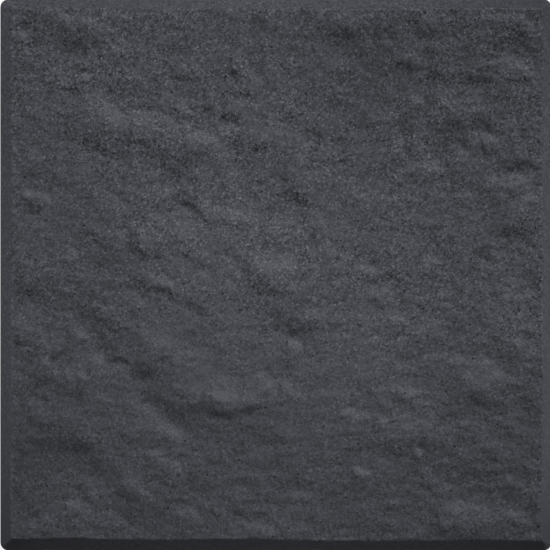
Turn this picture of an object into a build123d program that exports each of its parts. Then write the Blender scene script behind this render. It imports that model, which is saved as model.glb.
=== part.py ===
"""Square stepping stone, moulded in one piece of dense charcoal concrete.

A straight-sided slab with rounded upright corners, a sloped arris round its top, and a
walking face that is riven like split slate. The origin is the middle of the bed face,
with +Z up, and the units are millimetres.
"""

import math
import os
from collections import namedtuple

from build123d import *

# Slab
length = 300.0  # plan size along X
width = 300.0  # plan size along Y
thickness = 40.0  # from the bed face to the mean level of the walking face
corner_radius = 4.6  # upright corners, in plan

# Sloped arris between the side walls and the walking face
arris_width = 5.4  # in plan, at the face's mean level
arris_drop = 5.4  # how far it falls from that level
face_corner_radius = 1.0  # corners of the walking face, in plan

# Riven walking face
relief = 1.45  # height of a swell whose rise is 1
ripple = 10.0  # reach of a swell whose reach is 1
edge_calm = 0.55  # share of the relief that is gone at the sides of the slab
calm_onset = 10  # power of the way out from the middle: the higher, the nearer the sides it goes
face_overhang = 8.0  # how far the riven surface is carried past the slab before it is trimmed
face_profiles = 41  # profiles that the riven surface is lofted through, and points in each

# A swell is a long rounded rise in the riven face, or a hollow where its rise is negative.
# Its place is given in half lengths and half widths from the middle of the stone. Its two
# reaches, along its heading and across it, are in ripples. Headings turn from +X towards +Y.
Swell = namedtuple("Swell", "x y along across heading rise")
swells = [
    # Far left
    Swell(-0.71, 0.89, 2.0, 0.8, -8, 1.1),
    Swell(-0.77, 0.81, 1.8, 0.7, -15, -0.8),
    Swell(-0.58, 0.63, 1.6, 0.8, -15, -1.0),
    Swell(-0.60, 0.53, 1.5, 0.9, -15, 1.4),
    Swell(-0.36, 0.47, 2.0, 0.9, -10, 1.5),
    Swell(-0.36, 0.30, 1.6, 0.8, -50, -0.9),
    Swell(-0.48, 0.12, 2.4, 0.9, -10, 0.6),
    # Far right
    Swell(-0.05, 0.48, 1.2, 0.8, -5, 1.1),
    Swell(0.11, 0.36, 1.6, 1.0, -50, 0.6),
    Swell(0.03, 0.23, 1.7, 1.0, -10, -1.1),
    Swell(0.26, 0.91, 2.0, 0.7, -5, 0.6),
    Swell(0.65, 0.58, 1.5, 0.9, -20, 1.2),
    Swell(0.59, 0.44, 1.4, 0.7, 10, -0.8),
    Swell(0.89, 0.80, 1.1, 0.7, -10, -1.4),
    Swell(0.87, 0.21, 1.3, 0.9, 10, 1.1),
    Swell(0.85, 0.00, 1.6, 0.9, -50, -0.7),
    # Near left
    Swell(-0.85, 0.00, 1.5, 0.8, -5, 1.0),
    Swell(-0.87, -0.12, 1.6, 0.7, 0, -1.1),
    Swell(-0.65, -0.25, 2.0, 0.7, -50, -0.9),
    Swell(-0.42, -0.31, 1.8, 1.0, -35, 1.1),
    Swell(-0.78, -0.37, 1.9, 0.9, -40, 0.7),
    Swell(-0.80, -0.55, 2.6, 0.8, -3, 1.0),
    Swell(-0.38, -0.53, 2.2, 0.8, -45, -1.3),
    Swell(-0.72, -0.68, 2.3, 1.0, -25, -1.1),
    Swell(-0.50, -0.79, 2.2, 0.8, -30, 0.9),
    # Near right
    Swell(0.00, -0.03, 2.0, 0.9, -45, 1.3),
    Swell(0.04, -0.23, 1.2, 0.7, -20, -1.1),
    Swell(-0.18, -0.46, 2.4, 0.8, -5, 1.5),
    Swell(0.74, -0.28, 1.8, 0.8, -30, -0.7),
    Swell(0.72, -0.41, 1.7, 0.9, -15, 1.2),
    Swell(0.89, -0.51, 1.1, 0.9, -60, -0.9),
    Swell(0.49, -0.57, 1.4, 0.9, -10, 0.9),
    Swell(0.72, -0.79, 2.4, 0.9, -5, -0.8),
    Swell(0.72, -0.90, 2.8, 0.7, -4, 0.9),
]


def swell_height(swell, x, y):
    """Height that one swell adds to the walking face at a point of the plan."""
    heading = math.radians(swell.heading)
    from_x = x - swell.x * length / 2
    from_y = y - swell.y * width / 2
    along = from_x * math.cos(heading) + from_y * math.sin(heading)
    across = from_y * math.cos(heading) - from_x * math.sin(heading)
    fall = math.hypot(along / swell.along, across / swell.across) / ripple
    return relief * swell.rise * math.exp(-fall * fall)


def relief_kept(way_out):
    """Share of the relief that is left on the way from the middle, at 0, out to a side, at 1."""
    return 1 - edge_calm * min(abs(way_out), 1) ** calm_onset


def face_height(x, y):
    """Height of the riven walking face above the bed face."""
    waves = sum(swell_height(swell, x, y) for swell in swells)
    return thickness + waves * relief_kept(2 * x / length) * relief_kept(2 * y / width)


def face_profile(y, shares):
    """The riven face cut across the slab along X, as one smooth curve with an overhang at each end."""
    reach = length / 2 + face_overhang
    places = [reach * (2 * share - 1) for share in shares]
    points = [Vector(x, y, face_height(x, y)) for x in places]
    return Wire([Edge.make_spline(points, parameters=shares)])


def riven_surface():
    """The walking face before it is trimmed, lofted through its profiles from near to far."""
    shares = [i / (face_profiles - 1) for i in range(face_profiles)]
    reach = width / 2 + face_overhang
    profiles = [face_profile(reach * (2 * share - 1), shares) for share in shares]
    return Shell.make_loft(profiles).face()


def outline(inset, radius, level):
    """The slab's plan, drawn in from its sides, on a level plane."""
    return Plane.XY.offset(level) * RectangleRounded(length - 2 * inset, width - 2 * inset, radius)


def slab_blank():
    """Straight walls and the sloped arris, carried up past the highest swell."""
    wall_height = thickness - arris_drop
    headroom = 2 * relief * max(swell.rise for swell in swells)
    blank_height = thickness + headroom
    inset = arris_width * (arris_drop + headroom) / arris_drop
    foot = outline(0, corner_radius, 0)
    spring = outline(0, corner_radius, wall_height)
    top = outline(inset, face_corner_radius, blank_height)
    return extrude(foot, wall_height) + loft([spring, top], ruled=True)


def stepping_stone():
    """The blank, trimmed to the riven walking face."""
    below_face = Solid.extrude(riven_surface(), Vector(0, 0, -2 * thickness))
    return slab_blank() & below_face


os.makedirs("parts", exist_ok=True)
export_step(stepping_stone(), "parts/stepping_stone.step")
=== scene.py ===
"""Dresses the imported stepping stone: riven charcoal concrete under soft studio light.

The file is laid out as an add-on. The sizes and colours are properties, each piece and the stage
have an operator, and the panel in the sidebar lists them. Lengths are in metres, and those in the
tables of relief, patches and grain in millimetres.
"""

import math
from collections import namedtuple

import bmesh
import bpy
import numpy as np
from bpy.props import FloatProperty, FloatVectorProperty, IntProperty, PointerProperty
from mathutils import Matrix, Vector, noise
from mathutils.bvhtree import BVHTree


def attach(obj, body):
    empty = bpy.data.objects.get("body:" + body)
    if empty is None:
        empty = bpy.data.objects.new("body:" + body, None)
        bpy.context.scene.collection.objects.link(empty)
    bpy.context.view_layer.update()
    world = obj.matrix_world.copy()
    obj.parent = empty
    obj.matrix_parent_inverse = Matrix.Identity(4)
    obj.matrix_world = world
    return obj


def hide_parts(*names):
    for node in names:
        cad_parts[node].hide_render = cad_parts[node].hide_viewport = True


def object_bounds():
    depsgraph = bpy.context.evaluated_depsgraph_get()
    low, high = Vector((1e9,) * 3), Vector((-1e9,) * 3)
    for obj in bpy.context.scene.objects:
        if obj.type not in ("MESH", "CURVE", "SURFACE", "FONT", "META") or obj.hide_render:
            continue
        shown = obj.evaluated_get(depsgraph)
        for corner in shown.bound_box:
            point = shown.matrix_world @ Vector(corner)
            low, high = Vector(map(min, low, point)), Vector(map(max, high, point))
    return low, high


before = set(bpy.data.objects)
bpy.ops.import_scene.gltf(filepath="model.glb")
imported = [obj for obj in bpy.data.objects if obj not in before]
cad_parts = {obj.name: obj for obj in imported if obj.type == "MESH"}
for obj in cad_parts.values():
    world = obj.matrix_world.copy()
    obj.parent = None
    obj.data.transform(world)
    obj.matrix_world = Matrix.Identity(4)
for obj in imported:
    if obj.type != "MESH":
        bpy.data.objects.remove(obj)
cad_low, cad_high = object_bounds()

bl_info = {
    "name": "Stepping Stone",
    "version": (1, 0, 0),
    "blender": (4, 5, 0),
    "location": "View3D > Sidebar > Stone",
    "description": "A square stepping stone of riven charcoal concrete, and a stage to show it on",
    "category": "Object",
}

NODE = "stepping_stone"
BODY = "root"
PIECE = "stepping_stone_riven"
FINISH = "charcoal_concrete"
BED_FINISH = "bed_concrete"
BED_SLOT = 1  # the bed face takes the second of the piece's materials
MM = 0.001
HALF_LENGTH = (cad_high.x - cad_low.x) / 2
HALF_WIDTH = (cad_high.y - cad_low.y) / 2

# A ledge is a short step in the riven face. Its lip runs along its heading for its reach each
# way, and the face climbs by its rise on the way over the lip, from the near side to the far
# side. A bank is a ledge that falls instead. Places and sizes are in millimetres from the middle
# of the stone, and headings turn from +X towards +Y.
Ledge = namedtuple("Ledge", "x y reach heading lip rise")
LEDGES = [
    # Far left, ledges
    Ledge(-116, 127, 14, -12, 2.2, 0.1),
    Ledge(-106, 124, 5, -15, 2.0, 0.5),
    Ledge(-106, 112, 3, -50, 2.0, 1.0),
    Ledge(-112, 100, 8, 3, 1.5, 0.8),
    Ledge(-87, 97, 5, -55, 2.0, 0.6),
    Ledge(-97, 71, 6, -5, 1.8, 0.6),
    Ledge(-92, 66, 5, -45, 2.0, 0.5),
    Ledge(-75, 71, 5, 0, 1.6, 0.8),
    Ledge(-66, 66, 7, -35, 2.5, 0.5),
    Ledge(-58, 58, 6, -55, 1.8, 0.7),
    Ledge(-65, 52, 4, 30, 1.6, 0.9),
    Ledge(-38, 65, 5, 3, 1.6, 0.7),
    Ledge(-13, 69, 8, -14, 1.8, 0.5),
    Ledge(-36, 91, 3, 0, 2.0, 1.7),
    Ledge(-24, 85, 6, -15, 2.0, 1.8),
    Ledge(-19, 98, 6, -6, 1.3, 1.0),
    Ledge(-23, 109, 4, -10, 1.8, 1.6),
    Ledge(-49, 106, 7, -5, 1.6, 1.1),
    Ledge(-44, 35, 10, -45, 1.4, 1.5),
    Ledge(-70, 11, 9, -18, 1.6, 1.0),
    Ledge(-92, 9, 8, 0, 2.6, 0.4),
    Ledge(-44, 8, 8, -25, 1.6, 0.6),
    Ledge(-134, 54, 5, -5, 1.7, 0.6),
    Ledge(-118, 50, 7, -15, 2.0, 0.4),
    Ledge(-131, 37, 6, -5, 2.0, 0.5),
    Ledge(-139, 76, 5, -30, 1.6, 0.5),
    Ledge(-104, 42, 8, -35, 2.6, 0.3),
    Ledge(-10, 40, 4, -50, 2.0, 0.7),
    Ledge(-130, 137, 6, -15, 1.8, 0.1),
    Ledge(-85, 134, 4, 10, 1.8, 0.4),
    Ledge(-9, 137, 6, -40, 1.8, 0.5),
    Ledge(-53, 19, 4, -55, 1.6, 0.7),
    Ledge(-131, 3, 4, 10, 1.8, 0.5),
    Ledge(-51, 78, 3, -20, 1.6, 0.5),
    Ledge(-1, 82, 3, 0, 1.8, 0.4),
    Ledge(-119, 95, 4, 0, 1.8, 0.4),
    # Far left, banks
    Ledge(-90, 87, 6, -30, 3.5, -0.6),
    Ledge(-72, 84, 8, -8, 3.0, -0.35),
    Ledge(-57, 77, 6, -25, 3.0, -0.15),
    Ledge(-42, 76, 5, -60, 3.5, -0.7),
    Ledge(-103, 96, 8, 10, 2.0, -0.1),
    Ledge(-50, 91, 4, -15, 1.6, -0.5),
    Ledge(-11, 106, 4, 0, 3.5, -0.45),
    Ledge(-24, 33, 10, -15, 4.5, -0.3),
    Ledge(-54, 33, 5, 0, 3.5, -0.15),
    Ledge(-58, 46, 3, -20, 2.5, -0.5),
    Ledge(-25, 57, 6, -30, 3.0, -0.3),
    Ledge(-125, 28, 5, -10, 2.5, -0.2),
    Ledge(-128, 43, 9, -20, 1.6, -0.4),
    Ledge(-110, 12, 4, -50, 2.0, -0.4),
    Ledge(-75, 27, 3, 0, 2.5, -0.5),
    Ledge(-6, 5, 9, -12, 3.0, -0.6),
    Ledge(-112, 139, 3, 0, 2.5, -0.6),
    Ledge(-137, 129, 4, 0, 2.5, -0.7),
    Ledge(-138, 141, 4, 0, 2.0, -0.3),
    Ledge(-12, 92, 4, -15, 1.8, -0.35),
    Ledge(-104, 106, 3, -30, 1.8, -0.35),
    Ledge(-141, 119, 3, 0, 2.0, -0.3),
    Ledge(-65, 140, 4, 0, 1.8, -0.3),
    Ledge(-46, 71, 3, -30, 1.6, -0.3),
    Ledge(-141, 59, 3, 0, 2.0, -0.35),
    Ledge(-13, 78, 6, 5, 2.5, -0.3),
    # Far right, ledges
    Ledge(37, 130, 9, 0, 3.5, 1.3),
    Ledge(81, 131, 5, -5, 2.3, 1.3),
    Ledge(69, 114, 6, 0, 1.6, 1.0),
    Ledge(87, 109, 6, -8, 1.8, 0.5),
    Ledge(109, 106, 6, 8, 2.0, 1.0),
    Ledge(134, 123, 5, -20, 3.5, 0.9),
    Ledge(121, 128, 3, -10, 1.8, 0.3),
    Ledge(140, 141, 4, -5, 1.5, 0.5),
    Ledge(93, 78, 7, 12, 2.2, 0.3),
    Ledge(110, 87, 4, 25, 1.8, 0.5),
    Ledge(136, 60, 8, 0, 1.3, 0.9),
    Ledge(100, 58, 6, 10, 1.8, 0.4),
    Ledge(128, 23, 8, -4, 2.4, 1.5),
    Ledge(6, 83, 4, 0, 1.8, 0.8),
    Ledge(34, 73, 4, -5, 1.5, 0.5),
    Ledge(2, 52, 4, -55, 2.0, 0.6),
    Ledge(10, 42, 7, -28, 2.4, 1.0),
    Ledge(48, 87, 5, -15, 2.0, 0.4),
    Ledge(25, 8, 5, -5, 1.6, 0.5),
    Ledge(55, 7, 4, -30, 1.6, 0.4),
    Ledge(113, 12, 5, 0, 1.8, 0.5),
    Ledge(47, 49, 3, 0, 2.0, 0.4),
    Ledge(62, 0, 3, 0, 1.8, 1.0),
    Ledge(68, 58, 4, 20, 2.0, 0.4),
    Ledge(48, 24, 5, -5, 1.8, 0.5),
    Ledge(126, 11, 4, 0, 2.0, 0.4),
    Ledge(51, 140, 4, 0, 1.8, 0.4),
    Ledge(20, 25, 5, -10, 1.8, 0.4),
    Ledge(100, 97, 9, 5, 3.5, 0.1),
    # Far right, banks
    Ledge(127, 51, 10, 5, 2.4, -0.8),
    Ledge(136, 41, 5, 10, 1.8, -0.3),
    Ledge(137, 112, 5, -60, 3.0, -0.3),
    Ledge(126, 115, 6, 20, 3.0, -0.15),
    Ledge(76, 96, 5, -40, 2.3, -0.6),
    Ledge(21, 69, 5, 20, 2.2, -0.65),
    Ledge(113, 74, 4, 30, 2.0, -0.6),
    Ledge(98, 63, 6, 15, 1.8, -0.5),
    Ledge(85, 60, 6, -30, 2.0, -0.4),
    Ledge(55, 43, 10, 0, 2.5, -0.4),
    Ledge(10, 6, 9, 5, 3.5, -0.6),
    Ledge(51, 3, 7, -15, 2.2, -0.5),
    Ledge(84, 8, 4, 0, 2.4, -0.5),
    Ledge(71, 125, 3, -10, 2.2, -0.1),
    Ledge(134, 137, 5, -60, 2.5, -0.5),
    Ledge(61, 126, 3, 0, 2.0, -0.4),
    Ledge(117, 139, 4, 0, 1.8, -0.3),
    Ledge(17, 13, 4, 0, 1.8, -0.35),
    Ledge(76, 119, 4, 0, 1.8, -0.3),
    Ledge(72, 73, 4, 30, 2.0, -0.4),
    # Near left, ledges
    Ledge(-135, -8, 9, -8, 2.5, 0.5),
    Ledge(-66, -7, 13, -24, 2.0, 1.5),
    Ledge(-46, -17, 8, -18, 1.5, 0.8),
    Ledge(-9, -7, 5, -60, 3.2, 1.2),
    Ledge(-99, -22, 11, -20, 2.0, 0.3),
    Ledge(-89, -28, 5, -50, 2.0, 0.7),
    Ledge(-140, -36, 4, 0, 1.7, 1.3),
    Ledge(-87, -44, 9, -16, 2.0, 0.4),
    Ledge(-71, -53, 5, -20, 2.8, 0.9),
    Ledge(-54, -74, 8, -52, 2.0, 0.1),
    Ledge(-32, -75, 7, -10, 2.3, 0.75),
    Ledge(-45, -73, 3, 0, 2.0, 0.6),
    Ledge(-13, -72, 6, 22, 1.6, 0.6),
    Ledge(-64, -66, 6, -40, 3.5, 0.6),
    Ledge(-127, -64, 11, -22, 2.2, 0.3),
    Ledge(-101, -94, 5, -40, 1.8, 0.5),
    Ledge(-94, -103, 8, -25, 3.2, 0.75),
    Ledge(-80, -119, 7, -15, 2.6, 0.5),
    Ledge(-66, -127, 6, -30, 2.6, 0.5),
    Ledge(-20, -129, 4, -3, 1.5, 0.7),
    Ledge(-124, -139, 4, 0, 1.8, 0.4),
    # Near left, banks
    Ledge(-61, -4, 8, -25, 2.3, -0.3),
    Ledge(-75, -16, 3, 0, 2.0, -0.5),
    Ledge(-93, -18, 6, -35, 1.8, -0.1),
    Ledge(-105, -30, 5, -30, 2.2, -0.5),
    Ledge(-97, -45, 5, -40, 2.0, -0.5),
    Ledge(-84, -40, 8, -50, 3.0, -0.25),
    Ledge(-121, -50, 5, -65, 2.0, -0.75),
    Ledge(-104, -54, 3, -10, 2.0, -0.6),
    Ledge(-55, -39, 5, -75, 2.5, -0.6),
    Ledge(-28, -65, 12, -22, 3.0, -0.45),
    Ledge(-5, -57, 5, -50, 2.2, -0.6),
    Ledge(-56, -86, 7, -30, 2.6, -0.5),
    Ledge(-67, -75, 8, -42, 1.6, -0.15),
    Ledge(-54, -104, 6, -45, 2.0, -0.5),
    Ledge(-64, -97, 5, -35, 1.8, -0.5),
    Ledge(-76, -113, 6, -15, 2.0, -0.35),
    Ledge(-95, -117, 6, -20, 1.6, -0.25),
    Ledge(-111, -124, 7, 8, 2.6, -0.6),
    Ledge(-132, -70, 6, -40, 2.0, -0.2),
    Ledge(-8, -138, 8, -8, 2.0, -0.4),
    Ledge(-48, -129, 7, -10, 1.5, -0.4),
    Ledge(-37, -2, 4, -15, 1.8, -0.3),
    Ledge(-84, -50, 4, -30, 2.0, -0.3),
    Ledge(-128, -87, 16, 2, 2.2, -0.1),
    # Near right, ledges
    Ledge(4, -23, 5, -25, 2.4, 0.4),
    Ledge(11, -29, 8, -20, 2.4, 0.35),
    Ledge(111, -70, 5, -40, 1.8, 0.3),
    Ledge(100, -68, 7, -3, 2.0, 0.2),
    Ledge(123, -71, 8, -2, 1.5, 0.4),
    Ledge(130, -61, 5, 0, 2.0, 0.6),
    Ledge(121, -62, 5, -18, 1.3, 0.5),
    Ledge(135, -68, 5, -55, 2.0, 0.6),
    Ledge(126, -45, 6, -50, 2.6, 0.1),
    Ledge(119, -36, 7, -15, 2.2, 0.15),
    Ledge(75, -43, 7, 10, 1.8, 0.5),
    Ledge(87, -37, 5, -65, 2.4, 0.4),
    Ledge(56, -70, 8, -45, 1.6, 0.6),
    Ledge(67, -67, 5, -10, 1.5, 0.6),
    Ledge(37, -78, 2, 0, 1.5, 0.7),
    Ledge(40, -96, 4, -10, 1.6, 0.5),
    Ledge(62, -97, 6, -30, 1.8, 0.5),
    Ledge(79, -91, 9, -6, 1.6, 0.4),
    Ledge(123, -88, 6, -10, 2.0, 0.5),
    Ledge(111, -97, 3, 0, 2.0, 0.4),
    Ledge(112, -107, 12, 5, 2.4, 0.6),
    Ledge(45, -111, 3, 0, 1.5, 0.5),
    Ledge(76, -121, 8, -5, 2.0, 0.5),
    Ledge(138, -125, 5, 0, 1.8, 0.7),
    Ledge(92, -138, 10, 0, 1.8, 0.2),
    Ledge(141, -137, 3, 0, 2.0, 0.6),
    Ledge(114, -125, 7, -3, 1.8, 0.4),
    Ledge(4, -3, 4, 0, 1.8, 0.4),
    # Near right, banks
    Ledge(17, -22, 8, 5, 2.4, -0.5),
    Ledge(10, -38, 5, -30, 2.4, -0.7),
    Ledge(102, -55, 7, -35, 1.6, -0.1),
    Ledge(119, -54, 7, 5, 2.0, -0.1),
    Ledge(98, -46, 4, 20, 2.0, -0.5),
    Ledge(113, -46, 4, -30, 2.0, -0.4),
    Ledge(134, -38, 5, -70, 2.6, -0.4),
    Ledge(66, -22, 5, -20, 2.0, -0.5),
    Ledge(56, -9, 5, 30, 2.6, -0.4),
    Ledge(73, -63, 5, 25, 2.0, -0.6),
    Ledge(77, -79, 8, 0, 3.0, -0.3),
    Ledge(41, -75, 7, -12, 1.8, -0.4),
    Ledge(57, -79, 4, -30, 1.8, -0.4),
    Ledge(78, -96, 3, 0, 2.0, -0.55),
    Ledge(46, -106, 5, 0, 2.0, -0.55),
    Ledge(129, -111, 5, -10, 2.0, -0.35),
    Ledge(96, -127, 6, -12, 2.4, -0.3),
    Ledge(126, -131, 5, 3, 2.4, -0.25),
    Ledge(5, -58, 3, 0, 2.2, -0.5),
    Ledge(80, -138, 5, -5, 1.4, -0.25),
    Ledge(12, -8, 5, 0, 2.0, -0.3),
    Ledge(88, -112, 5, 0, 1.8, -0.3),
    Ledge(78, -70, 4, 0, 1.8, -0.25),
]

# How lips wander from a straight line: the size of the bends and how far they stray, in millimetres.
LIP_BENDS = [(8.0, 2.0), (3.2, 1.2)]
LIP_SEED = 1  # of the noise that bends them

# Noise that is drawn out along the riven grain. Its sizes along and across the grain are in
# millimetres, and each noise is cut from a slice of its own.
Grain = namedtuple("Grain", "along across slice")
BENDS = Grain(20.0, 12.0, 3.7)
RIPPLES = Grain(13.0, 8.0, 11.3)
FLAKES = Grain(6.4, 3.6, 23.9)
CRUMBS = Grain(3.4, 2.6, 37.1)

# A patch adds its amount at its middle, and less and less over its reaches along X and Y. Its place,
# from the middle of the stone, and its reaches are in millimetres.
Patch = namedtuple("Patch", "x y along_x along_y amount")

# Painted light and shade on the riven face: paler patches stand in for light, and darker patches with a
# negative amount stand in for shade. An amount of 0.1 is a tenth.
PAINTED_LIGHT_PATCHES = [
    Patch(-88, 112, 18, 24, 0.15),
    Patch(50, 120, 32, 25, -0.30),
    Patch(48, 84, 18, 20, -0.16),
    Patch(2, 62, 14, 18, -0.16),
    Patch(105, 108, 25, 15, -0.20),
    Patch(137, 60, 15, 9, 0.14),
    Patch(-33, 30, 18, 14, 0.17),
    Patch(8, 12, 20, 13, 0.14),
    Patch(-98, 4, 18, 26, -0.18),
    Patch(-72, -40, 32, 28, -0.12),
    Patch(-130, -95, 22, 16, -0.10),
    Patch(-5, -92, 22, 13, -0.12),
    Patch(62, -30, 24, 22, 0.16),
    Patch(128, -26, 26, 20, 0.22),
    Patch(78, -75, 34, 18, 0.14),
    Patch(-108, -134, 24, 12, 0.10),
    Patch(10, -132, 20, 10, 0.14),
    Patch(105, -112, 40, 25, 0.06),
    Patch(132, 5, 16, 80, 0.20),
    Patch(-112, 112, 36, 32, 0.12),
    Patch(-112, 38, 34, 30, -0.05),
    Patch(80, -60, 70, 70, 0.09),
    Patch(20, 72, 45, 45, -0.04),
    Patch(129, 27, 10, 5, -0.14),
    Patch(0, 140, 140, 5, 0.14),
    # Single bright specks: pale sand grains with painted glints
    Patch(-141, 68, 0.9, 0.8, 1.1),
    Patch(139.5, 54.5, 0.8, 1.0, 1.1),
    Patch(-110.5, 140, 1.0, 0.8, 0.8),
    Patch(133, 140, 1.0, 0.8, 0.8),
    Patch(92, -100.5, 0.7, 1.0, 1.2),
    Patch(139, -141.5, 0.9, 0.7, 1.2),
    # Pits, as painted shade
    Patch(-109, 126, 1.5, 1.0, -0.8),
    Patch(-106.5, 124.5, 2.0, 1.1, -0.9),
    Patch(-102.5, 123.5, 1.6, 1.1, -0.9),
    Patch(-103, 121.5, 1.3, 1.1, -0.9),
    Patch(-111, 121, 1.4, 1.1, -0.9),
    Patch(-104.5, 110.5, 1.1, 1.4, -0.8),
]

# Where the share of painted glints and grain contrast on the face is lowered by the amount.
GLINT_CUTS = [
    Patch(-125, 45, 30, 40, -0.65),
    Patch(125, 45, 30, 40, -0.60),
]

# Painted light and shade on the cast arris and the walls below it: paler and darker patches, darkest at the
# two near corners.
CAST_PAINTED_LIGHT = [
    Patch(-150, 140, 14, 30, 0.14),
    Patch(-5, 150, 55, 14, 0.12),
    Patch(138, 150, 36, 14, -0.14),
    Patch(150, 135, 14, 35, -0.10),
    Patch(150, -142, 14, 22, -0.30),
    Patch(-150, -138, 14, 30, -0.28),
    Patch(-130, -150, 40, 14, -0.12),
    Patch(130, -150, 34, 14, -0.14),
    Patch(150, -40, 14, 50, 0.06),
]

# Where the face stands higher along its rim, in millimetres, which widens the arris there.
RIM_RISES = [
    Patch(-115, -150, 42, 20, 2.5),
    Patch(-22, -150, 42, 20, 2.0),
    Patch(100, -150, 50, 20, 1.0),
    Patch(-150, 20, 18, 120, 1.7),
    Patch(150, 20, 18, 120, 0.5),
    Patch(0, 150, 140, 16, 0.7),
]

# Sand grains that show on the concrete: their size in millimetres.
SAND_SIZE = 0.8
GRIT_SIZE = 1.4

# Mottling of the concrete: its size in millimetres, and how many finer layers lie on it.
Mottle = namedtuple("Mottle", "size detail")
CRUMB_MOTTLE = Mottle(2.5, 3.0)
PATCH_MOTTLE = Mottle(9.0, 3.0)
CLUMP_MOTTLE = Mottle(20.0, 2.0)
CLOUD_MOTTLE = Mottle(60.0, 2.0)
BED_SAND_MOTTLE = Mottle(1.8, 3.0)
BED_PATCH_MOTTLE = Mottle(16.0, 4.0)

# Round specks, at most one in each cell of their spacing, where the cell's draw from 0 to 1 comes out
# above a level. Spacing and radius are in millimetres. Those in 2D are laid out in plan.
Specks = namedtuple("Specks", "spacing radius draw_above dimensions")
PORES = Specks(3.4, 0.6, 0.8, "3D")
PITS = Specks(9.0, 0.75, 0.74, "2D")
PINHOLES = Specks(4.6, 0.55, 0.6, "2D")
# Pale grains carry painted glints as well.
PALE_GRAINS_AND_GLINTS = Specks(4.0, 0.55, 0.72, "2D")
BED_PORES = Specks(5.0, 1.1, 0.6, "3D")

# Where each lamp stands, in metres, and the place in plan that it looks at.
Lamp = namedtuple("Lamp", "name kind place aim settings")
MIDDLE = (0.0, 0.0)
LAMPS = [
    Lamp("key", "SUN", (0.33, 1.0, 1.02), MIDDLE, {"energy": 2.10, "angle": math.radians(14.0)}),
    Lamp(
        "pool",
        "SPOT",
        (-0.02, 0.02, 1.1),
        (-0.02, 0.02),
        {"energy": 12.5, "spot_size": math.radians(20.0), "spot_blend": 1.0, "shadow_soft_size": 0.08},
    ),
    Lamp("left_fill", "AREA", (-1.5, 0.1, 0.45), MIDDLE, {"energy": 4.6, "size": 0.6}),
    Lamp("right_fill", "AREA", (1.5, 0.1, 0.45), MIDDLE, {"energy": 5.9, "size": 0.6}),
]

# The floor, which shows near white to these rays and is a plain pale matt to the rest.
SEEN_PATHS = ("Is Camera Ray", "Is Glossy Ray", "Is Transmission Ray")
WHITE = (1.0, 1.0, 1.0, 1.0)
SHOWN_WHITE = 0.8  # share of what they see that is white, so that the shadow still shows
FLOOR_REACH = 4.0
FLOOR_GAP = 0.05 * MM  # below the bed face

# The camera, which stands almost above the middle of the stone.
PICTURE_PIXELS = 550.0  # across the picture
STONE_PIXELS = 551.3  # that the stone's length would take
CAMERA_X = -0.54 * MM
CAMERA_Y = -0.05 * MM
VIEW_END = 20.0  # nothing further from the camera is drawn


class StoneSizes(bpy.types.PropertyGroup):
    """Sizes of the stone that the frame's box doesn't give."""

    face_level: FloatProperty(
        name="Face level",
        description="Mean height of the walking face above the bed face",
        default=40.0 * MM,
        unit="LENGTH",
    )
    arris_width: FloatProperty(
        name="Arris width",
        description="Width in plan of the sloped arris round the walking face",
        default=5.4 * MM,
        unit="LENGTH",
    )
    arris_drop: FloatProperty(
        name="Arris drop",
        description="How far the arris falls from the mean level of the walking face",
        default=5.4 * MM,
        unit="LENGTH",
    )
    corner_radius: FloatProperty(
        name="Corner radius",
        description="Radius of the upright corners in plan",
        default=4.6 * MM,
        unit="LENGTH",
    )
    edge_wear: FloatProperty(
        name="Edge wear",
        description="How far the edge between face and arris is worn round",
        default=0.5 * MM,
        unit="LENGTH",
    )
    bed_round: FloatProperty(
        name="Bed edge round",
        description="Rounding of the edge between the walls and the bed face",
        default=0.9 * MM,
        unit="LENGTH",
    )


class StoneRelief(bpy.types.PropertyGroup):
    """How strongly the fine relief stands out from the broad waves of the frame."""

    face_steps: IntProperty(
        name="Face steps",
        description="Quads along each side of the walking face",
        default=280,
    )
    wall_rings: IntProperty(
        name="Wall rings",
        description="Quads from the arris down to the bed face",
        default=14,
    )
    ledge_strength: FloatProperty(
        name="Ledge strength",
        description="Multiplies the rise of every ledge",
        default=0.75,
    )
    bank_strength: FloatProperty(
        name="Bank strength",
        description="Multiplies the fall of every bank",
        default=2.0,
    )
    ledge_back: FloatProperty(
        name="Ledge back",
        description="How far behind and before a lip the face comes back to its level",
        default=11.0 * MM,
        unit="LENGTH",
    )
    ripple_height: FloatProperty(
        name="Ripple height",
        description="Height of the ripples that run with the riven grain",
        default=0.62 * MM,
        unit="LENGTH",
    )
    flake_height: FloatProperty(
        name="Flake height",
        description="Height of the small flakes between the ripples",
        default=0.34 * MM,
        unit="LENGTH",
    )
    crumb_height: FloatProperty(
        name="Crumb height",
        description="Height of the crumbs on the flakes",
        default=0.12 * MM,
        unit="LENGTH",
    )
    edge_calm: FloatProperty(
        name="Edge calm",
        description="Share of the fine relief that is gone where the face meets the arris",
        default=0.5,
        subtype="FACTOR",
    )
    wall_texture: FloatProperty(
        name="Wall texture",
        description="Unevenness of the cast walls",
        default=0.12 * MM,
        unit="LENGTH",
    )


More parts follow.
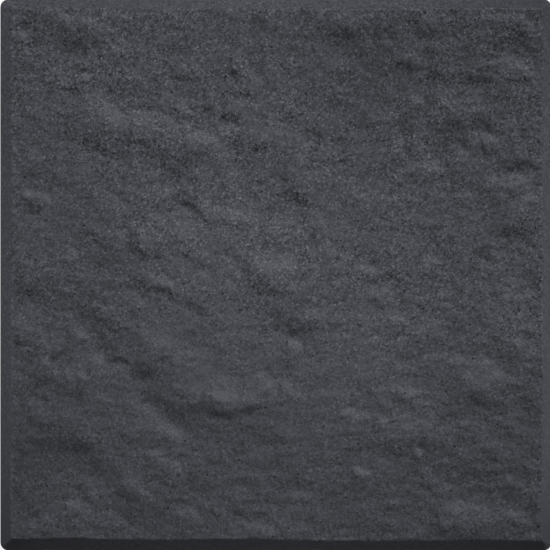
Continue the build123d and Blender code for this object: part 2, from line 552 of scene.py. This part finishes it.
class StoneColours(bpy.types.PropertyGroup):
    """Colours of the concrete."""

    concrete: FloatVectorProperty(
        name="Concrete",
        description="Charcoal of the cement and fine sand",
        default=(0.0483, 0.0499, 0.0568),
        size=3,
        subtype="COLOR",
    )
    sheen: FloatVectorProperty(
        name="Sheen",
        description="Tint of the dull shine on the riven face",
        default=(0.84, 0.86, 1.0),
        size=3,
        subtype="COLOR",
    )
    cast: FloatVectorProperty(
        name="Cast skin",
        description="Charcoal of the arris and walls, which the mould closed and smoothed",
        default=(0.0600, 0.0622, 0.0742),
        size=3,
        subtype="COLOR",
    )
    # Pale grains: pale sand, with painted glints on it.
    pale_grain_and_glint: FloatVectorProperty(
        name="Pale grain",
        description="Sand grains that the pigment left pale",
        default=(0.13, 0.135, 0.15),
        size=3,
        subtype="COLOR",
    )
    pore: FloatVectorProperty(
        name="Pore",
        description="Shade inside the pores",
        default=(0.012, 0.012, 0.014),
        size=3,
        subtype="COLOR",
    )


class StageSettings(bpy.types.PropertyGroup):
    """Floor, lamps and camera."""

    floor: FloatVectorProperty(
        name="Floor",
        description="Colour of the floor",
        default=(0.82, 0.82, 0.82),
        size=3,
        subtype="COLOR",
    )
    room_light: FloatProperty(
        name="Room light",
        description="Strength of the even light of the room",
        default=0.082,
    )
    lens: FloatProperty(
        name="Lens",
        description="Focal length of the camera",
        default=120.0,
        unit="CAMERA",
    )


def smooth_share(values, low, high):
    """Shares that ease from 0 at the low end to 1 at the high end."""
    shares = np.clip((values - low) / (high - low), 0.0, 1.0)
    return shares * shares * (3.0 - 2.0 * shares)


def round_corner(x, y, radius):
    """Moves a place of the square plan to where the rounded plan has it."""
    over_x = (abs(x) - (HALF_LENGTH - radius)) / radius
    over_y = (abs(y) - (HALF_WIDTH - radius)) / radius
    if over_x <= 0 or over_y <= 0:
        return x, y
    share = max(over_x, over_y) / math.hypot(over_x, over_y)
    rounded_x = HALF_LENGTH - radius + over_x * share * radius
    rounded_y = HALF_WIDTH - radius + over_y * share * radius
    return math.copysign(rounded_x, x), math.copysign(rounded_y, y)


def distance_inside(x, y, radius):
    """How far places lie inside the rounded outline of the plan."""
    over_x = np.abs(x) - (HALF_LENGTH - radius)
    over_y = np.abs(y) - (HALF_WIDTH - radius)
    outside = np.hypot(np.maximum(over_x, 0.0), np.maximum(over_y, 0.0))
    return radius - outside - np.minimum(np.maximum(over_x, over_y), 0.0)


def crowd_edges(place, half):
    """Moves an even place along the plan so that the grid is twice as fine in a border at each side."""
    border = 9.0 * MM
    even_border = 2.0 * border
    from_side = half - abs(place)
    if from_side < even_border:
        moved = half - from_side * border / even_border
    else:
        moved = abs(place) * (half - border) / (half - even_border)
    return math.copysign(moved, place)


def lay_face_grid(stone, sizes, relief):
    """A fine grid over the whole plan, finer still along its sides, with its corners rounded."""
    bmesh.ops.create_grid(
        stone,
        x_segments=relief.face_steps,
        y_segments=relief.face_steps,
        size=1.0,
        matrix=Matrix.Diagonal((HALF_LENGTH, HALF_WIDTH, 1.0, 1.0)),
    )
    for vert in stone.verts:
        x = crowd_edges(vert.co.x, HALF_LENGTH)
        y = crowd_edges(vert.co.y, HALF_WIDTH)
        vert.co.x, vert.co.y = round_corner(x, y, sizes.corner_radius)


def drop_on_frame(stone, sizes):
    """Sets the grid on the broad waves of the frame's walking face, and eases out its facets."""
    clear_of_arris = 2.0 * MM
    easing_rounds = 12
    margin = sizes.arris_width + clear_of_arris
    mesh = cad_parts[NODE].data
    corners = [vert.co for vert in mesh.vertices]
    waves = BVHTree.FromPolygons(corners, [polygon.vertices for polygon in mesh.polygons])
    above = 2.0 * cad_high.z
    down = Vector((0.0, 0.0, -1.0))
    for vert in stone.verts:
        x = min(max(vert.co.x, margin - HALF_LENGTH), HALF_LENGTH - margin)
        y = min(max(vert.co.y, margin - HALF_WIDTH), HALF_WIDTH - margin)
        vert.co.z = waves.ray_cast(Vector((x, y, above)), down)[0].z
    for _ in range(easing_rounds):
        bmesh.ops.smooth_vert(stone, verts=stone.verts, factor=0.5, use_axis_z=True)


def wandering(x, y, size, reach):
    """Small sideways shifts that make straight lips wander, for arrays of places."""
    shifts = [noise.noise_vector(Vector((a / size, b / size, 0.0))) for a, b in zip(x, y)]
    shifts = np.array(shifts) * reach
    return x + shifts[:, 0], y + shifts[:, 1]


def ledge_heights(x, y, relief):
    """Height that the ledges and banks add at places of the face."""
    noise.seed_set(LIP_SEED)
    for size, reach in LIP_BENDS:
        x, y = wandering(x, y, size * MM, reach * MM)
    heights = np.zeros_like(x)
    for ledge in LEDGES:
        strength = relief.ledge_strength if ledge.rise > 0 else relief.bank_strength
        heading = math.radians(ledge.heading)
        from_x = x - ledge.x * MM
        from_y = y - ledge.y * MM
        along = from_x * math.cos(heading) + from_y * math.sin(heading)
        across = from_y * math.cos(heading) - from_x * math.sin(heading)
        fade = np.exp(-((along / (ledge.reach * MM)) ** 4) - (across / relief.ledge_back) ** 2)
        heights += strength * ledge.rise * MM * np.tanh(across / (ledge.lip * MM)) * fade
    return heights


def across_grain(x, y):
    """How far places lie across the riven grain, which runs down from the left and then levels."""
    turn = 50.0 * MM
    lean = math.tan(math.radians(18.0))
    run = np.maximum(turn - x, 0.0)
    return y - lean * run * run / (2.0 * (turn + HALF_LENGTH))


def grain_noise(x, across, grain):
    """Noise drawn out along the riven grain, from -1 to 1."""
    long = grain.along * MM
    short = grain.across * MM
    places = [Vector((a / long, b / short, grain.slice)) for a, b in zip(x, across)]
    return np.array([noise.noise(place) for place in places])


def ripple_heights(x, y, relief):
    """Height of the ripples that run with the riven grain, and of the flakes and crumbs on them."""
    ripple_bend = 2.2 * MM
    flake_shift = 0.8 * MM
    across = across_grain(x, y)
    bends = grain_noise(x, across, BENDS)
    ripples = grain_noise(x, across + ripple_bend * bends, RIPPLES)
    flakes = grain_noise(x, y + flake_shift * ripples, FLAKES)
    crumbs = grain_noise(x, y, CRUMBS)
    return relief.ripple_height * ripples + relief.flake_height * flakes + relief.crumb_height * crumbs


def soft_lower(first, second, blend):
    """The lower of two heights, worn round where they meet."""
    share = np.clip(0.5 + 0.5 * (second - first) / blend, 0.0, 1.0)
    return second + (first - second) * share - blend * share * (1.0 - share)


def patches_at(x, y, patches):
    """What a list of patches adds up to at places of the face."""
    amounts = np.zeros_like(x)
    for patch in patches:
        from_x = (x / MM - patch.x) / patch.along_x
        from_y = (y / MM - patch.y) / patch.along_y
        amounts += patch.amount * np.exp(-from_x * from_x - from_y * from_y)
    return amounts


def far_side_glint_share(y):
    """Share of painted glints and grain contrast, from 0 on the near side to 1 on the far side, where the
    light falls more strongly.
    """
    faintest_to = -80.0 * MM
    fullest_from = 40.0 * MM
    return smooth_share(y, faintest_to, fullest_from)


def rim_highlight(inside, arris_width):
    """How much paler the face is painted along its rim: a painted edge highlight, with some wear."""
    paler = 0.12
    behind_rim = 1.2 * MM
    reach = 1.6 * MM
    return paler * np.exp(-(((inside - arris_width - behind_rim) / reach) ** 2))


def carve_face(stone, sizes, relief):
    """Adds the fine relief and trims the face to the sloped arris. Marks the tones of the face."""
    calm_border = 6.0 * MM
    cast_below = -0.2 * MM
    riven_above = 0.4 * MM
    x, y, z = np.array([vert.co for vert in stone.verts]).T
    slope = sizes.arris_drop / sizes.arris_width
    inside = distance_inside(x, y, sizes.corner_radius)
    near_edge = 1.0 - smooth_share(inside, sizes.arris_width, sizes.arris_width + calm_border)
    fine_relief = ledge_heights(x, y, relief) + ripple_heights(x, y, relief)
    face = z + fine_relief * (1.0 - relief.edge_calm * near_edge) + patches_at(x, y, RIM_RISES) * MM
    arris = sizes.face_level - sizes.arris_drop + slope * inside
    heights = soft_lower(face, arris, sizes.edge_wear)
    riven = smooth_share(arris - face, cast_below, riven_above)
    riven_painted_light = patches_at(x, y, PAINTED_LIGHT_PATCHES) + rim_highlight(inside, sizes.arris_width)
    cast_painted_light = patches_at(x, y, CAST_PAINTED_LIGHT)
    # The marks carry the painted light and shade, and the share of painted glints, which grows towards the
    # far side.
    marks = {
        "riven": riven,
        "painted_light_and_shade": riven * riven_painted_light + (1.0 - riven) * cast_painted_light,
        "glint_share": far_side_glint_share(y) + patches_at(x, y, GLINT_CUTS),
    }
    layers = [stone.verts.layers.float.new(name) for name in marks]
    for vert, height, *values in zip(stone.verts, heights, *marks.values()):
        vert.co.z = height
        for layer, value in zip(layers, values):
            vert[layer] = value


def draw_down_walls(stone, sizes, relief):
    """Extrudes the rim down to the bed face, with a rounded edge at the foot."""
    spring = sizes.face_level - sizes.arris_drop
    foot = sizes.bed_round
    top = spring - sizes.edge_wear
    foot_rings = 2
    steps = relief.wall_rings - foot_rings
    levels = [top + (foot - top) * step / steps for step in range(steps + 1)]
    rounding = math.radians(45.0)
    low_level = foot * (1.0 - math.sin(rounding))
    low_inset = foot * (1.0 - math.cos(rounding))
    rings = [(level, 0.0) for level in levels] + [(low_level, low_inset), (0.0, foot)]
    rim = [edge for edge in stone.edges if edge.is_boundary]
    for level, inset in rings:
        grown = bmesh.ops.extrude_edge_only(stone, edges=rim)["geom"]
        ring = [item for item in grown if isinstance(item, bmesh.types.BMVert)]
        rim = [item for item in grown if isinstance(item, bmesh.types.BMEdge) and item.is_boundary]
        for vert in ring:
            vert.co.z = level
        if inset > 0.0:
            shrink = (1.0 - inset / HALF_LENGTH, 1.0 - inset / HALF_WIDTH, 1.0)
            bmesh.ops.scale(stone, vec=shrink, verts=ring)
    return rim


def roughen_walls(stone, sizes, relief):
    """Gives the walls the slight unevenness of a casting."""
    dent_size = 9.0 * MM
    calmer = 1.0
    finer = 2.0
    octaves = 3
    stone.normal_update()
    spring = sizes.face_level - sizes.arris_drop
    for vert in stone.verts:
        if sizes.bed_round < vert.co.z < spring - sizes.edge_wear:
            dent = noise.fractal(vert.co / dent_size, calmer, finer, octaves)
            vert.co += relief.wall_texture * dent * vert.normal


def stone_mesh(sizes, relief):
    """The whole stone as one closed mesh."""
    stone = bmesh.new()
    lay_face_grid(stone, sizes, relief)
    drop_on_frame(stone, sizes)
    carve_face(stone, sizes, relief)
    rim = draw_down_walls(stone, sizes, relief)
    bed = bmesh.ops.edgeloop_fill(stone, edges=rim)["faces"]
    bmesh.ops.recalc_face_normals(stone, faces=stone.faces)
    roughen_walls(stone, sizes, relief)
    for face in stone.faces:
        face.smooth = True
    for face in bed:
        face.smooth = False
        face.material_index = BED_SLOT
    mesh = bpy.data.meshes.new(PIECE)
    stone.to_mesh(mesh)
    stone.free()
    return mesh


class Signal:
    """A socket of a node tree. Sums and products of signals add Math nodes."""

    def __init__(self, nodes, socket):
        self.nodes = nodes
        self.socket = socket

    def maths(self, operation, first, second):
        return self.nodes.add("ShaderNodeMath", {"operation": operation}, {0: first, 1: second})

    def __add__(self, other):
        return self.maths("ADD", self, other)

    def __radd__(self, other):
        return self.maths("ADD", other, self)

    def __sub__(self, other):
        return self.maths("SUBTRACT", self, other)

    def __rsub__(self, other):
        return self.maths("SUBTRACT", other, self)

    def __mul__(self, other):
        return self.maths("MULTIPLY", self, other)

    def __rmul__(self, other):
        return self.maths("MULTIPLY", other, self)


class Nodes:
    """The node tree of a material or world, with one way to add a node."""

    def __init__(self, owner):
        owner.use_nodes = True
        self.tree = owner.node_tree
        self.tree.nodes.clear()

    def add(self, kind, settings=None, sockets=None, output=0):
        """Adds a node: its settings first, then the values or links of its sockets."""
        node = self.tree.nodes.new(kind)
        for name, value in (settings or {}).items():
            setattr(node, name, value)
        live = [socket for socket in node.inputs if socket.enabled]
        for name, value in (sockets or {}).items():
            socket = live[name] if isinstance(name, int) else self.named(live, name)
            if isinstance(value, Signal):
                self.tree.links.new(value.socket, socket)
            else:
                socket.default_value = value
        results = [socket for socket in node.outputs if socket.enabled]
        if not results:
            return None
        found = results[output] if isinstance(output, int) else self.named(results, output)
        return Signal(self, found)

    @staticmethod
    def named(sockets, name):
        """The socket of that name among a node's live sockets."""
        return next(socket for socket in sockets if socket.name == name)

    def mark(self, name):
        """One of the marks that the mesh carries."""
        return self.add("ShaderNodeAttribute", {"attribute_name": name}, output="Fac")

    def mottle(self, place, kind):
        """Noise for a kind of mottling, from 0 to 1 about a half."""
        scale = 1.0 / (kind.size * MM)
        sockets = {"Vector": place, "Scale": scale, "Detail": kind.detail, "Roughness": 0.6}
        return self.add("ShaderNodeTexNoise", {}, sockets, "Fac")

    def grains(self, place, size):
        """Cells of that size in millimetres, each of one tone from 0 to 1."""
        sockets = {"Vector": place, "Scale": 1.0 / (size * MM)}
        return self.add("ShaderNodeTexVoronoi", {}, sockets, "Color")

    def eased(self, value, low, high):
        """0 below the low end, 1 above the high end, and a smooth climb between them."""
        sockets = {"Value": value, "From Min": low, "From Max": high}
        return self.add("ShaderNodeMapRange", {"interpolation_type": "SMOOTHSTEP"}, sockets)

    def mixed(self, share, first, second):
        """A colour between two colours."""
        sockets = {"Factor": share, "A": first, "B": second}
        return self.add("ShaderNodeMix", {"data_type": "RGBA"}, sockets)

    def scaled(self, colour, tone):
        """A colour made lighter or darker by a tone, which is 1 for no change."""
        sockets = {"Vector": colour, "Scale": tone}
        return self.add("ShaderNodeVectorMath", {"operation": "SCALE"}, sockets)


def opaque(colour):
    """A colour property as the four numbers that a socket takes."""
    return (*colour, 1.0)


def between(low, high, share):
    """A value that goes from low, where the share is 0, to high, where it is 1."""
    return low + (high - low) * share


def specks(nodes, place, kind):
    """1 inside the specks of a kind, 0 outside them, and a soft edge between."""
    solid_core = 0.5
    draw_softness = 0.05
    settings = {"voronoi_dimensions": kind.dimensions}
    cells = {"Vector": place, "Scale": 1.0 / (kind.spacing * MM)}
    distance = nodes.add("ShaderNodeTexVoronoi", settings, cells, "Distance")
    draw = nodes.add("ShaderNodeTexVoronoi", settings, cells, "Color")
    chosen = nodes.eased(draw, kind.draw_above, kind.draw_above + draw_softness)
    rim = kind.radius / kind.spacing
    return chosen * (1.0 - nodes.eased(distance, solid_core * rim, rim))


def charcoal_concrete(colours):
    """Dense pigmented concrete: sandy where it is riven, closer and smoother where the mould shaped it."""
    material = bpy.data.materials.new(FINISH)
    nodes = Nodes(material)
    place = nodes.add("ShaderNodeTexCoord", output="Object")
    riven = nodes.mark("riven")
    painted_light_and_shade = nodes.mark("painted_light_and_shade")
    glint_share = nodes.mark("glint_share")
    drawn_out = nodes.add("ShaderNodeMapping", {}, {"Vector": place, "Scale": (0.85, 1.0, 1.0)})
    sand = nodes.grains(drawn_out, SAND_SIZE)
    grit = nodes.grains(drawn_out, GRIT_SIZE)
    crumbs = nodes.mottle(place, CRUMB_MOTTLE)
    patches = nodes.mottle(place, PATCH_MOTTLE)
    clouds = nodes.mottle(place, CLOUD_MOTTLE)
    clumps = nodes.mottle(place, CLUMP_MOTTLE)
    pores = specks(nodes, place, PORES)
    pits = specks(nodes, place, PITS) * riven
    pinholes = specks(nodes, place, PINHOLES) * riven
    # Pale specks: pale sand grains with painted glints, which grow towards the far side.
    pale_specks_and_glints = specks(nodes, place, PALE_GRAINS_AND_GLINTS) * riven * between(0.3, 1.0, glint_share)
    # The sand stands out more where the face is riven and clumped, and its painted glints grow towards the
    # far side and where painted light falls.
    painted_light_grain = 0.7
    sand_and_glints = between(0.33, 0.68, riven) * between(0.72, 1.30, glint_share)
    graininess = sand_and_glints * between(0.4, 1.6, clumps) + painted_light_grain * painted_light_and_shade
    # Most sand grains are near the mean tone, and a few are far from it, more of them pale.
    pale_excess = 0.09
    grit_tone = 0.6
    patch_tone = 0.25
    cloud_tone = 0.15
    swing = 2.0 * sand - 1.0
    spread = 0.8 + 0.5 * swing + 1.2 * swing * swing
    mottle = swing * spread + grit_tone * (grit - 0.5) - pale_excess
    uneven = patch_tone * (patches - 0.5) + cloud_tone * (clouds - 0.5)
    # The tone carries the painted light and shade, and the grain with its painted glints.
    tone = 1.0 + painted_light_and_shade + graininess * mottle + uneven
    colour = nodes.mixed(riven, opaque(colours.cast), opaque(colours.concrete))
    # Pores, pits and pinholes take the pore colour: painted shade in these hollows.
    colour = nodes.scaled(nodes.mixed(pores + pits + pinholes, colour, opaque(colours.pore)), tone)
    colour = nodes.mixed(pale_specks_and_glints, colour, opaque(colours.pale_grain_and_glint))
    pore_depth = 0.3
    roughness = between(0.505, 0.655, sand)
    height = crumbs * between(0.35, 1.0, riven) - pore_depth * pores - pits
    bump = {"Strength": 1.0, "Distance": 0.48 * MM, "Height": height}
    normal = nodes.add("ShaderNodeBump", {}, bump)
    split = {
        "Base Color": colour,
        "Roughness": roughness,
        "Specular IOR Level": 0.45,
        "Specular Tint": opaque(colours.sheen),
        "Normal": normal,
    }
    cast = {"Base Color": colour, "Roughness": 0.7, "Specular IOR Level": 0.15, "Normal": normal}
    rough_face = nodes.add("ShaderNodeBsdfPrincipled", {}, split)
    cast_face = nodes.add("ShaderNodeBsdfPrincipled", {}, cast)
    surface = nodes.add("ShaderNodeMixShader", {}, {0: riven, 1: cast_face, 2: rough_face})
    nodes.add("ShaderNodeOutputMaterial", {}, {"Surface": surface})
    return material


def bed_concrete(colours):
    """The bed face: open texture with more pores, as it was levelled off in the mould."""
    material = bpy.data.materials.new(BED_FINISH)
    nodes = Nodes(material)
    place = nodes.add("ShaderNodeTexCoord", output="Object")
    sand = nodes.mottle(place, BED_SAND_MOTTLE)
    patches = nodes.mottle(place, BED_PATCH_MOTTLE)
    pores = specks(nodes, place, BED_PORES)
    sand_tone = 0.9
    patch_tone = 0.5
    patch_height = 0.8
    pore_depth = 1.5
    tone = 1.0 + sand_tone * (sand - 0.5) + patch_tone * (patches - 0.5)
    # The pores take the pore colour: painted shade in them.
    colour = nodes.scaled(nodes.mixed(pores, opaque(colours.concrete), opaque(colours.pore)), tone)
    height = sand + patch_height * patches - pore_depth * pores
    normal = nodes.add("ShaderNodeBump", {}, {"Strength": 0.7, "Distance": 0.4 * MM, "Height": height})
    surface = {"Base Color": colour, "Roughness": 0.85, "Specular IOR Level": 0.3, "Normal": normal}
    shader = nodes.add("ShaderNodeBsdfPrincipled", {}, surface)
    nodes.add("ShaderNodeOutputMaterial", {}, {"Surface": shader})
    return material


class STONE_OT_stepping_stone(bpy.types.Operator):
    """Builds the riven stone over the frame's plain one"""

    bl_idname = "stone.stepping_stone"
    bl_label = "Stepping Stone"

    def execute(self, context):
        settings = context.scene.stone
        mesh = stone_mesh(settings.sizes, settings.relief)
        mesh.materials.append(charcoal_concrete(settings.colours))
        mesh.materials.append(bed_concrete(settings.colours))
        piece = bpy.data.objects.new(PIECE, mesh)
        context.scene.collection.objects.link(piece)
        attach(piece, BODY)
        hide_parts(NODE)
        return {"FINISHED"}


def add_lamp(scene, lamp):
    """A soft lamp that looks at a place of the walking face."""
    data = bpy.data.lights.new(lamp.name, lamp.kind)
    for setting, value in lamp.settings.items():
        setattr(data, setting, value)
    light = bpy.data.objects.new(lamp.name, data)
    light.location = lamp.place
    look = Vector((*lamp.aim, cad_high.z)) - light.location
    light.rotation_euler = look.to_track_quat("-Z", "Y").to_euler()
    light.visible_camera = False
    scene.collection.objects.link(light)


def add_floor(scene, colour):
    """A plain pale floor that shows near white to the camera and keeps the stone's shadow."""
    plane = bmesh.new()
    bmesh.ops.create_grid(plane, x_segments=1, y_segments=1, size=FLOOR_REACH)
    bmesh.ops.translate(plane, vec=(0.0, 0.0, -FLOOR_GAP), verts=plane.verts)
    mesh = bpy.data.meshes.new("floor")
    plane.to_mesh(mesh)
    plane.free()
    material = bpy.data.materials.new("floor")
    nodes = Nodes(material)
    matte = nodes.add("ShaderNodeBsdfDiffuse", {}, {"Color": opaque(colour)})
    white = nodes.add("ShaderNodeEmission", {}, {"Color": WHITE, "Strength": 1.0})
    paths = [nodes.add("ShaderNodeLightPath", output=path) for path in SEEN_PATHS]
    seen = nodes.add("ShaderNodeClamp", {}, {"Value": sum(paths)})
    surface = nodes.add("ShaderNodeMixShader", {}, {0: SHOWN_WHITE * seen, 1: matte, 2: white})
    nodes.add("ShaderNodeOutputMaterial", {}, {"Surface": surface})
    mesh.materials.append(material)
    floor = bpy.data.objects.new("floor", mesh)
    scene.collection.objects.link(floor)


def light_world(scene, level):
    """An even pale room."""
    world = bpy.data.worlds.new("studio")
    nodes = Nodes(world)
    sky = nodes.add("ShaderNodeBackground", {}, {"Color": WHITE, "Strength": level})
    nodes.add("ShaderNodeOutputWorld", {}, {"Surface": sky})
    scene.world = world


def add_camera(scene, sizes, lens):
    """A camera straight above the stone, which fills the picture but for a hair of floor at the left."""
    picture_width = 2.0 * HALF_LENGTH * PICTURE_PIXELS / STONE_PIXELS
    spring = sizes.face_level - sizes.arris_drop
    data = bpy.data.cameras.new("camera")
    data.lens = lens
    data.clip_end = VIEW_END
    distance = picture_width * lens / data.sensor_width
    camera = bpy.data.objects.new("camera", data)
    camera.location = (CAMERA_X, CAMERA_Y, spring + distance)
    scene.collection.objects.link(camera)
    scene.camera = camera


class STONE_OT_stage(bpy.types.Operator):
    """Sets up the floor, the soft light and the camera"""

    bl_idname = "stone.stage"
    bl_label = "Stage"

    def execute(self, context):
        scene = context.scene
        settings = scene.stone
        add_floor(scene, settings.stage.floor)
        light_world(scene, settings.stage.room_light)
        for lamp in LAMPS:
            add_lamp(scene, lamp)
        add_camera(scene, settings.sizes, settings.stage.lens)
        scene.view_settings.view_transform = "Standard"
        return {"FINISHED"}


class STONE_PT_sidebar(bpy.types.Panel):
    """Lists the stone's properties and operators"""

    bl_label = "Stepping Stone"
    bl_space_type = "VIEW_3D"
    bl_region_type = "UI"
    bl_category = "Stone"

    def draw(self, context):
        settings = context.scene.stone
        for group in (settings.sizes, settings.relief, settings.colours, settings.stage):
            box = self.layout.box()
            for name in group.__annotations__:
                box.prop(group, name)
        self.layout.operator(STONE_OT_stepping_stone.bl_idname)
        self.layout.operator(STONE_OT_stage.bl_idname)


class StoneSettings(bpy.types.PropertyGroup):
    """All settings of the stone and its stage."""

    sizes: PointerProperty(type=StoneSizes)
    relief: PointerProperty(type=StoneRelief)
    colours: PointerProperty(type=StoneColours)
    stage: PointerProperty(type=StageSettings)


CLASSES = (
    StoneSizes,
    StoneRelief,
    StoneColours,
    StageSettings,
    StoneSettings,
    STONE_OT_stepping_stone,
    STONE_OT_stage,
    STONE_PT_sidebar,
)


def register():
    for cls in CLASSES:
        bpy.utils.register_class(cls)
    bpy.types.Scene.stone = PointerProperty(type=StoneSettings)


def unregister():
    del bpy.types.Scene.stone
    for cls in reversed(CLASSES):
        bpy.utils.unregister_class(cls)


def main():
    register()
    bpy.ops.stone.stepping_stone()
    bpy.ops.stone.stage()


if __name__ == "__main__":
    main()
